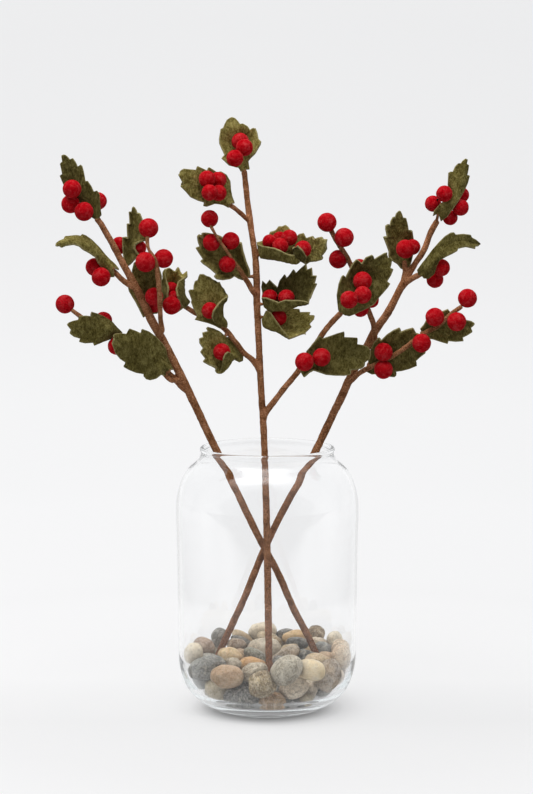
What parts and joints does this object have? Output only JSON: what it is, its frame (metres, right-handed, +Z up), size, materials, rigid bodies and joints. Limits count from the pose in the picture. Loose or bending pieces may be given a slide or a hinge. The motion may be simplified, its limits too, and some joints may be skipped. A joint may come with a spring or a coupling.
{
  "type": "felt holly sprigs in a glass jar",
  "caption": "Felt holly sprigs with toothed folded leaves and red ball berries on wrapped stems, standing in a round-shouldered glass jar of river pebbles.",
  "frame": {"origin": "centre of the jar's foot, on the table plane", "axes": "+Z up along the jar's axis, +Y away from the viewer of the picture, +X to the viewer's right"},
  "size_m": [0.4206, 0.184, 0.5943],
  "materials": {
    "jar_glass": "clear, smooth",
    "stem_wrap": "matte brown wrap over wire, fine cross ridges",
    "leaf_felt": "matte olive wool felt",
    "berry_felt": "matte red wool felt",
    "river_stone": "water-worn, satin, mixed greys and tans"
  },
  "bodies": {
    "root": {"glass_jar": "jar_glass", "left_stem": "stem_wrap", "centre_stem": "stem_wrap", "right_stem": "stem_wrap", "leaf_L1": "leaf_felt", "leaf_L2": "leaf_felt", "leaf_L3": "leaf_felt", "leaf_L4": "leaf_felt", "leaf_L5": "leaf_felt", "leaf_L6": "leaf_felt", "leaf_L7": "leaf_felt", "leaf_C1": "leaf_felt", "leaf_C2": "leaf_felt", "leaf_C3": "leaf_felt", "leaf_C4": "leaf_felt", "leaf_C5": "leaf_felt", "leaf_C6": "leaf_felt", "leaf_C6b": "leaf_felt", "leaf_C7": "leaf_felt", "leaf_C8": "leaf_felt", "leaf_R1": "leaf_felt", "leaf_R2": "leaf_felt", "leaf_R3": "leaf_felt", "leaf_R5": "leaf_felt", "leaf_R6": "leaf_felt", "leaf_R7": "leaf_felt", "leaf_R8": "leaf_felt", "berries_L1_front": "berry_felt", "berry_L1_back": "berry_felt", "berries_L2": "berry_felt", "berry_L3_back": "berry_felt", "berry_L3_front": "berry_felt", "berries_L4": "berry_felt", "berries_L5": "berry_felt", "berries_C1": "berry_felt", "berries_C2": "berry_felt", "berry_C4": "berry_felt", "berry_C5": "berry_felt", "berries_C6": "berry_felt", "berry_C6_low": "berry_felt", "berries_C7": "berry_felt", "berry_C8": "berry_felt", "berries_R1_left": "berry_felt", "berries_R1_right": "berry_felt", "berries_R2": "berry_felt", "berries_R3": "berry_felt", "berries_R5": "berry_felt", "berries_R6": "berry_felt", "spray_front": "berry_felt", "spray_L6": "berry_felt", "spray_C3": "berry_felt", "spray_R4": "berry_felt", "spray_R8": "berry_felt", "pebbles_1": "river_stone", "pebbles_2": "river_stone", "pebbles_3": "river_stone", "pebbles_4": "river_stone", "pebbles_5": "river_stone", "pebbles_6": "river_stone", "pebbles_7": "river_stone"}
  },
  "joints": []
}
